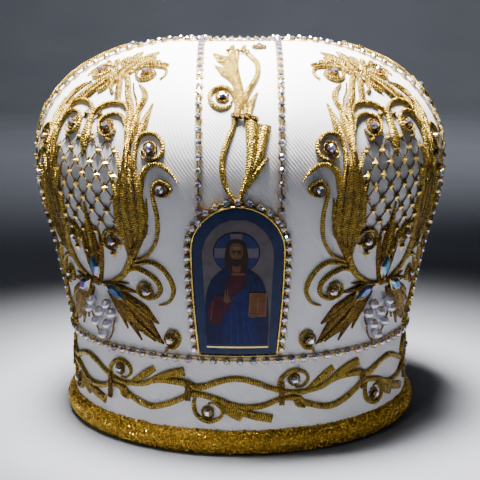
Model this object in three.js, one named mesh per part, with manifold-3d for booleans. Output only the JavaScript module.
// Bishop mitre of the Eastern type: a stiff white crown of four narrow strips and four wide fields,
// rhinestone chains over its seams, four enamel icons, pearls and long-cut stones, a plain lower band
// and a fat gold cord round its rim.
//
// Millimetres, +Z up. The origin is the centre of the base, the front icon faces -Y, +X is the
// wearer's view of the right-hand side as seen from the front.

import * as THREE from 'three';
import { mergeVertices } from 'three/addons/utils/BufferGeometryUtils.js';
import Module from 'manifold-3d';

const wasm = await Module();
wasm.setup();

// Crown: outer radius and height at the waist, the widest place and the ring on top.
const WAIST = { r: 97, z: 52.5 };
const BULGE = { r: 116, z: 149 };
const TOP = { r: 28.5, z: 211.5 };
const WALL = 2.6;
const GAP = 0.3;

// Crown pieces.
const STRIP_HALF = 20.2;
const SEAM_PAIR = 3.4;
const PANEL_ROWS = 18;
const STRIP_COLUMNS = 6;
const FIELD_COLUMNS = 8;

// Lower band and rim cord.
const BAND = { bottomR: 98.3, bottomZ: 7, wall: 3 };
const RIM = { outer: 102, radius: 6.5, height: 14.2, innerR: 94.8, flat: 3.4 };
const ROUND_STEPS = 64;

// Rhinestone chains: one fat thread each, on the cloth.
const CHAIN_RADIUS = 1.4;
const CHAIN_SIDES = 6;
const CHAIN_LIFT = GAP + CHAIN_RADIUS;
const WAIST_CHAIN_DROP = 0.8;
const TOP_DISC_RISE = 1.4;

// Icons: an arched keystone plate with a thin bezel, seen flat as half widths at two heights.
const ICON = { foot: 2.6, spring: 60, top: 83, halfFoot: 18.9, halfSpring: 22.2, aside: -1.1 };
const PLATE = { lift: 0.8, thick: 1.8 };
const BEZEL = { wide: 1, tall: 2.6, lift: 0.5 };
const SIDE_STEPS = 6;
const ARCH_STEPS = 12;
const FOOT_STEPS = 5;

// Pearls and long-cut stones of each field, placed round the axis of its embroidery.
const FIELD_AXIS = { foot: -2, lean: 0.03 };
const PEARL_RADIUS = 2.4;
const THREAD_RADIUS = 0.5;
const STONE = { half: 7.2, halfWide: 3.4, girdle: 1.3, table: 2.6 };
const STONE_POINTS = 10;

// Grape of pearls in the order of its thread: degrees from the axis, millimetres above the waist.
const PEARLS = [
  { turn: -3.6, up: 24.3 },
  { turn: -5.3, up: 19.5 },
  { turn: 0, up: 19 },
  { turn: 3.6, up: 24.3 },
  { turn: 5.3, up: 19.5 },
  { turn: 2.7, up: 12.5 },
  { turn: -2.7, up: 12.5 },
  { turn: 0, up: 5.6 },
];

// Long stones: place as above, and lean of the long axis from upright.
const STONES = [
  { name: 'top', turn: 0, up: 45, lean: 0 },
  { name: 'near', turn: 7.4, up: 32, lean: -62 },
  { name: 'far', turn: -7.4, up: 32, lean: 62 },
];

const CLOTH = { color: 0xe9e7ee, roughness: 0.75, metalness: 0 };
const GOLD = { color: 0xb98a2c, roughness: 0.4, metalness: 0.8 };
const CRYSTAL = { color: 0xc4c6dc, roughness: 0.15, metalness: 0.2 };
const ENAMEL = { color: 0x24407c, roughness: 0.25, metalness: 0.2 };
const PEARL = { color: 0xe6e2ea, roughness: 0.25, metalness: 0 };
const STONE_BLUE = { color: 0x2c5c9c, roughness: 0.1, metalness: 0.2 };

const mitre = new THREE.Group();

function add(name, geometry, finish, quarterTurns = 0) {
  const mesh = new THREE.Mesh(geometry, new THREE.MeshStandardMaterial(finish));
  mesh.name = name;
  mesh.rotation.z = (quarterTurns * Math.PI) / 2;
  mitre.add(mesh);
}

// Crown surface -------------------------------------------------------------------------------

const flat = (r, z) => new THREE.Vector2(r, z);
const profile = new THREE.CurvePath();
profile.add(new THREE.CubicBezierCurve(
  flat(WAIST.r, WAIST.z),
  flat(WAIST.r + 11, WAIST.z + 69),
  flat(BULGE.r, BULGE.z - 24),
  flat(BULGE.r, BULGE.z),
));
profile.add(new THREE.CubicBezierCurve(
  flat(BULGE.r, BULGE.z),
  flat(BULGE.r, BULGE.z + 53),
  flat(TOP.r + 24, TOP.z + 4),
  flat(TOP.r, TOP.z),
));
const CROWN_LENGTH = profile.getLength();

// A place on the profile: up is the length along the cloth from the waist.
function onProfile(up) {
  const here = THREE.MathUtils.clamp(up / CROWN_LENGTH, 0, 1);
  const step = 0.002;
  const place = profile.getPoint(here);
  const above = profile.getPoint(Math.min(here + step, 1));
  const below = profile.getPoint(Math.max(here - step, 0));
  const along = above.sub(below).normalize();
  return { r: place.x, z: place.y, out: flat(along.y, -along.x) };
}

// A point lifted off the crown; turn is in radians from the front, towards +X.
function onCrown(turn, up, lift) {
  const { r, z, out } = onProfile(up);
  const reach = r + out.x * lift;
  return new THREE.Vector3(reach * Math.sin(turn), -reach * Math.cos(turn), z + out.y * lift);
}

function crownNormal(turn, up) {
  return onCrown(turn, up, 1).sub(onCrown(turn, up, 0)).normalize();
}

// Angle of a place that stands across millimetres beside the middle of a strip.
function turnAcross(across, up) {
  return Math.asin(THREE.MathUtils.clamp(across / onProfile(up).r, -1, 1));
}

// Half the angle a strip takes. Two strips end side by side at the ring, a pair of chains apart.
function stripTurn(up) {
  const widest = Math.PI / 4 - SEAM_PAIR / 2 / onProfile(up).r;
  return Math.min(turnAcross(STRIP_HALF, up), widest);
}

// Solids --------------------------------------------------------------------------------------

// A closed body from any geometry, its faces turned outwards.
function body(source) {
  const shape = source.clone();
  shape.deleteAttribute('normal');
  shape.deleteAttribute('uv');
  const merged = mergeVertices(shape, 1e-4);
  const index = Array.from(merged.index.array);
  const corner = (n) => new THREE.Vector3().fromBufferAttribute(merged.attributes.position, n);
  const kept = [];
  let volume = 0;
  for (let i = 0; i < index.length; i += 3) {
    const [a, b, c] = index.slice(i, i + 3);
    if (a !== b && b !== c && c !== a) {
      kept.push(a, b, c);
      volume += corner(a).dot(corner(b).cross(corner(c)));
    }
  }
  merged.setIndex(volume < 0 ? kept.reverse() : kept);
  return merged;
}

function fromPoints(points, faces) {
  const geometry = new THREE.BufferGeometry().setFromPoints(points);
  geometry.setIndex(faces);
  return body(geometry);
}

// A skin over rings of an even number of points, each joined to the next. A row of rings that
// doesn't close is capped by rungs across its first and last ring.
function skin(rings, closed) {
  const sides = rings[0].length;
  const faces = [];
  const quad = (a, b, c, d) => faces.push(a, b, c, a, c, d);
  const joins = closed ? rings.length : rings.length - 1;
  for (let i = 0; i < joins; i += 1) {
    const here = i * sides;
    const next = ((i + 1) % rings.length) * sides;
    for (let j = 0; j < sides; j += 1) {
      const k = (j + 1) % sides;
      quad(here + j, here + k, next + k, next + j);
    }
  }
  if (!closed) {
    const last = (rings.length - 1) * sides;
    for (let j = 0; j < sides / 2 - 1; j += 1) {
      const opposite = sides - 1 - j;
      quad(opposite, opposite - 1, j + 1, j);
      quad(last + j, last + j + 1, last + opposite - 1, last + opposite);
    }
  }
  return fromPoints(rings.flat(), faces);
}

// A bent slab: at(row, column, lift) gives a point, with row and column from 0 to 1.
function slab(rows, columns, low, high, at) {
  const rings = [];
  for (let i = 0; i <= rows; i += 1) {
    const front = [];
    const back = [];
    for (let j = 0; j <= columns; j += 1) {
      front.push(at(i / rows, j / columns, high));
      back.unshift(at(i / rows, j / columns, low));
    }
    rings.push([...front, ...back]);
  }
  return skin(rings, false);
}

// A section of [across, out] pairs carried along places on the crown.
function carried(places, section, closed) {
  const count = places.length;
  const rings = places.map((place, i) => {
    const next = places[closed ? (i + 1) % count : Math.min(i + 1, count - 1)];
    const last = places[closed ? (i + count - 1) % count : Math.max(i - 1, 0)];
    const along = next.point.clone().sub(last.point).normalize();
    const across = along.clone().cross(place.normal).normalize();
    const out = across.clone().cross(along);
    return section.map(([a, b]) => place.point.clone()
      .addScaledVector(across, a)
      .addScaledVector(out, b));
  });
  return skin(rings, closed);
}

function roundSection(radius, sides) {
  return Array.from({ length: sides }, (_, i) => {
    const angle = ((i + 0.5) * 2 * Math.PI) / sides;
    return [radius * Math.cos(angle), radius * Math.sin(angle)];
  });
}

function place(turn, up, lift) {
  return { point: onCrown(turn, up, lift), normal: crownNormal(turn, up) };
}

// A ring about the Z axis from a closed outline of [radius, height] pairs.
function ring(outline, steps) {
  const points = [...outline, outline[0]].map(([r, z]) => flat(r, z));
  return body(new THREE.LatheGeometry(points, steps).rotateX(Math.PI / 2));
}

// Crown pieces --------------------------------------------------------------------------------

const panelUp = (row) => THREE.MathUtils.lerp(GAP, CROWN_LENGTH, row);
const halfGap = (up) => GAP / 2 / onProfile(up).r;

function stripPanel() {
  return slab(PANEL_ROWS, STRIP_COLUMNS, -WALL, 0, (row, column, lift) => {
    const up = panelUp(row);
    const half = stripTurn(up) - halfGap(up);
    return onCrown(THREE.MathUtils.lerp(-half, half, column), up, lift);
  });
}

function fieldPanel() {
  return slab(PANEL_ROWS, FIELD_COLUMNS, -WALL, 0, (row, column, lift) => {
    const up = panelUp(row);
    const start = stripTurn(up) + halfGap(up);
    return onCrown(THREE.MathUtils.lerp(start, Math.PI / 2 - start, column), up, lift);
  });
}

function topDisc() {
  const edge = TOP.r - GAP;
  const outline = [
    flat(0, TOP.z + TOP_DISC_RISE),
    flat(edge * 0.55, TOP.z + TOP_DISC_RISE * 0.75),
    flat(edge, TOP.z),
    flat(edge, TOP.z - WALL),
    flat(0, TOP.z - WALL + TOP_DISC_RISE),
  ];
  return body(new THREE.LatheGeometry(outline, ROUND_STEPS / 2).rotateX(Math.PI / 2));
}

function headBand() {
  const top = WAIST.z - GAP;
  return ring([
    [BAND.bottomR, BAND.bottomZ],
    [WAIST.r + 0.3, 30],
    [WAIST.r, top],
    [WAIST.r - BAND.wall, top],
    [BAND.bottomR - BAND.wall, BAND.bottomZ],
  ], ROUND_STEPS);
}

// The rim cord is round outside, flat below and notched inside, where the band stands in it.
function rimCord() {
  const centreR = RIM.outer - RIM.radius;
  const outline = [[RIM.innerR, 0], [RIM.innerR + RIM.flat, 0]];
  for (const degrees of [-50, -25, 0, 25, 50]) {
    const angle = THREE.MathUtils.degToRad(degrees);
    outline.push([
      centreR + RIM.radius * Math.cos(angle),
      RIM.radius + RIM.radius * Math.sin(angle) * 1.05,
    ]);
  }
  const notchR = BAND.bottomR + GAP;
  const notchZ = BAND.bottomZ - GAP;
  outline.push([notchR + 0.5, RIM.height], [notchR, RIM.height], [notchR, notchZ], [RIM.innerR, notchZ]);
  return ring(outline, ROUND_STEPS);
}

// Chains --------------------------------------------------------------------------------------

const CHAIN_SECTION = roundSection(CHAIN_RADIUS, CHAIN_SIDES);

function roundChain(r, z, steps) {
  return ring(CHAIN_SECTION.map(([a, b]) => [r + a, z + b]), steps);
}

// From just above the icon's chain to just below the top ring, on the rows of the panels.
function seamChain(side) {
  const start = ICON.top - 1;
  const end = CROWN_LENGTH - 2 * CHAIN_RADIUS - 1;
  const places = [];
  for (let row = 0; row <= PANEL_ROWS; row += 1) {
    const up = panelUp(row / PANEL_ROWS);
    if (up > start && up < end) places.push(place(side * stripTurn(up), up, CHAIN_LIFT));
  }
  places.unshift(place(side * stripTurn(start), start, CHAIN_LIFT));
  places.push(place(side * stripTurn(end), end, CHAIN_LIFT));
  return carried(places, CHAIN_SECTION, false);
}

// Icons ---------------------------------------------------------------------------------------

// Height and half width of the plate's outline, grown by a margin: straight sides, round arch.
function iconEdge(step, margin) {
  if (step <= SIDE_STEPS) {
    const part = step / SIDE_STEPS;
    return {
      up: THREE.MathUtils.lerp(ICON.foot - margin, ICON.spring, part),
      half: THREE.MathUtils.lerp(ICON.halfFoot, ICON.halfSpring, Math.sin((part * Math.PI) / 2)) + margin,
    };
  }
  const angle = ((step - SIDE_STEPS) / (ARCH_STEPS / 2 + 0.5)) * (Math.PI / 2);
  return {
    up: ICON.spring + (ICON.top - ICON.spring + margin) * Math.sin(angle),
    half: (ICON.halfSpring + margin) * Math.cos(angle),
  };
}

const ICON_STEPS = SIDE_STEPS + ARCH_STEPS / 2;

function iconPlate() {
  return slab(ICON_STEPS, 4, PLATE.lift, PLATE.lift + PLATE.thick, (row, column, lift) => {
    const { up, half } = iconEdge(Math.round(row * ICON_STEPS), 0);
    const across = ICON.aside + THREE.MathUtils.lerp(-half, half, column);
    return onCrown(turnAcross(across, up), up, lift);
  });
}

// The way round an icon, up its right side, over the arch and down its left side.
function iconRoute(margin, lift) {
  const route = [];
  for (const side of [1, -1]) {
    for (let i = 0; i <= ICON_STEPS; i += 1) {
      const { up, half } = iconEdge(side > 0 ? i : ICON_STEPS - i, margin);
      route.push(place(turnAcross(ICON.aside + side * half, up), up, lift));
    }
  }
  return route;
}

function iconBezel() {
  const half = BEZEL.wide / 2;
  const margin = GAP + half;
  const section = [[half, 0], [half, BEZEL.tall], [-half, BEZEL.tall], [-half, 0]];
  const route = iconRoute(margin, BEZEL.lift);
  const foot = iconEdge(0, margin);
  for (let i = 1; i < FOOT_STEPS; i += 1) {
    const across = ICON.aside + THREE.MathUtils.lerp(-foot.half, foot.half, i / FOOT_STEPS);
    route.push(place(turnAcross(across, foot.up), foot.up, BEZEL.lift));
  }
  return carried(route, section, true);
}

// The chain stands on the waist chain, so its two ends stop short of it.
function iconChain() {
  const margin = 2 * GAP + BEZEL.wide + CHAIN_RADIUS;
  const route = iconRoute(margin, CHAIN_LIFT);
  const foot = 2 * CHAIN_RADIUS - 0.2;
  for (const [end, side] of [[0, 1], [route.length - 1, -1]]) {
    const across = ICON.aside + side * (ICON.halfFoot + margin);
    route[end] = place(turnAcross(across, foot), foot, CHAIN_LIFT);
  }
  return carried(route, CHAIN_SECTION, false);
}

// Pearls and stones ---------------------------------------------------------------------------

// The axis of a field's embroidery leans: degrees from the middle of the field, towards the front.
const axisTurn = (up) => FIELD_AXIS.foot + FIELD_AXIS.lean * up;

// A place of the right front field, mirrored into the field that side and face name.
function inField(spot, lift, side, face) {
  const turn = THREE.MathUtils.degToRad(45 - axisTurn(spot.up) - spot.turn);
  const flip = new THREE.Vector3(side, face, 1);
  return {
    point: onCrown(turn, spot.up, lift).multiply(flip),
    normal: crownNormal(turn, spot.up).multiply(flip),
  };
}

function asManifold(geometry) {
  const shape = body(geometry);
  return new wasm.Manifold(new wasm.Mesh({
    numProp: 3,
    vertProperties: new Float32Array(shape.attributes.position.array),
    triVerts: new Uint32Array(shape.index.array),
  }));
}

function fromManifold(solid) {
  const mesh = solid.getMesh();
  const geometry = new THREE.BufferGeometry();
  geometry.setAttribute('position', new THREE.BufferAttribute(mesh.vertProperties, 3));
  geometry.setIndex(Array.from(mesh.triVerts));
  return geometry;
}

function threadBetween(from, to) {
  const along = to.clone().sub(from);
  const rod = new THREE.CylinderGeometry(THREAD_RADIUS, THREAD_RADIUS, along.length(), 5);
  rod.applyQuaternion(new THREE.Quaternion().setFromUnitVectors(
    new THREE.Vector3(0, 1, 0),
    along.clone().normalize(),
  ));
  const middle = from.clone().lerp(to, 0.5);
  return rod.translate(middle.x, middle.y, middle.z);
}

function pearlCluster(side, face) {
  const centres = PEARLS.map((spot) => inField(spot, GAP + PEARL_RADIUS, side, face).point);
  let cluster = null;
  centres.forEach((centre, i) => {
    const pearl = new THREE.IcosahedronGeometry(PEARL_RADIUS, 1).translate(centre.x, centre.y, centre.z);
    const bead = asManifold(pearl);
    cluster = cluster ? cluster.add(bead) : bead;
    if (i > 0) cluster = cluster.add(asManifold(threadBetween(centres[i - 1], centre)));
  });
  return fromManifold(cluster);
}

// A long stone: pointed outline of two arcs, in at the back, widest at the girdle, flat on top.
function longStone(spot, side, face) {
  const { point, normal } = inField(spot, 0, side, face);
  const upward = new THREE.Vector3(0, 0, 1).addScaledVector(normal, -normal.z).normalize();
  const sideways = upward.clone().cross(normal);
  const lean = THREE.MathUtils.degToRad(spot.lean) * side * face;
  const along = upward.clone().multiplyScalar(Math.cos(lean)).addScaledVector(sideways, Math.sin(lean));
  const across = along.clone().cross(normal);
  const rings = [[0.75, 0], [1, STONE.girdle], [0.5, STONE.table]].map(([size, height]) => {
    const outline = [];
    for (let i = 0; i < STONE_POINTS; i += 1) {
      const angle = (i * 2 * Math.PI) / STONE_POINTS;
      const a = STONE.half * Math.cos(angle);
      const b = STONE.halfWide * Math.sign(Math.sin(angle)) * (1 - Math.cos(angle) ** 2);
      outline.push(point.clone()
        .addScaledVector(along, a * size)
        .addScaledVector(across, b * size)
        .addScaledVector(normal, GAP + 0.3 + height));
    }
    return outline;
  });
  return skin(rings, false);
}

// Assembly ------------------------------------------------------------------------------------

const SIDES = [['front', 0], ['right', 1], ['back', 2], ['left', -1]];
const FIELDS = [['front_right', 0, 1, 1], ['back_right', 1, 1, -1], ['back_left', 2, -1, -1], ['front_left', 3, -1, 1]];

add('rim_cord', rimCord(), GOLD);
add('head_band', headBand(), CLOTH);
add('waist_chain', roundChain(WAIST.r + CHAIN_LIFT, WAIST.z - WAIST_CHAIN_DROP, ROUND_STEPS), CRYSTAL);
add('top_disc', topDisc(), CLOTH);
add('top_chain', roundChain(TOP.r - 0.5, TOP.z + CHAIN_LIFT + 0.2, ROUND_STEPS / 2), CRYSTAL);

for (const [name, quarter] of SIDES) {
  add(`strip_${name}`, stripPanel(), CLOTH, quarter);
  add(`seam_chain_${name}_left`, seamChain(-1), CRYSTAL, quarter);
  add(`seam_chain_${name}_right`, seamChain(1), CRYSTAL, quarter);
  add(`icon_plate_${name}`, iconPlate(), ENAMEL, quarter);
  add(`icon_bezel_${name}`, iconBezel(), GOLD, quarter);
  add(`icon_chain_${name}`, iconChain(), CRYSTAL, quarter);
}

for (const [name, quarter, side, face] of FIELDS) {
  add(`field_${name}`, fieldPanel(), CLOTH, quarter);
  add(`pearls_${name}`, pearlCluster(side, face), PEARL);
  for (const spot of STONES) {
    add(`stone_${spot.name}_${name}`, longStone(spot, side, face), STONE_BLUE);
  }
}

export default mitre;
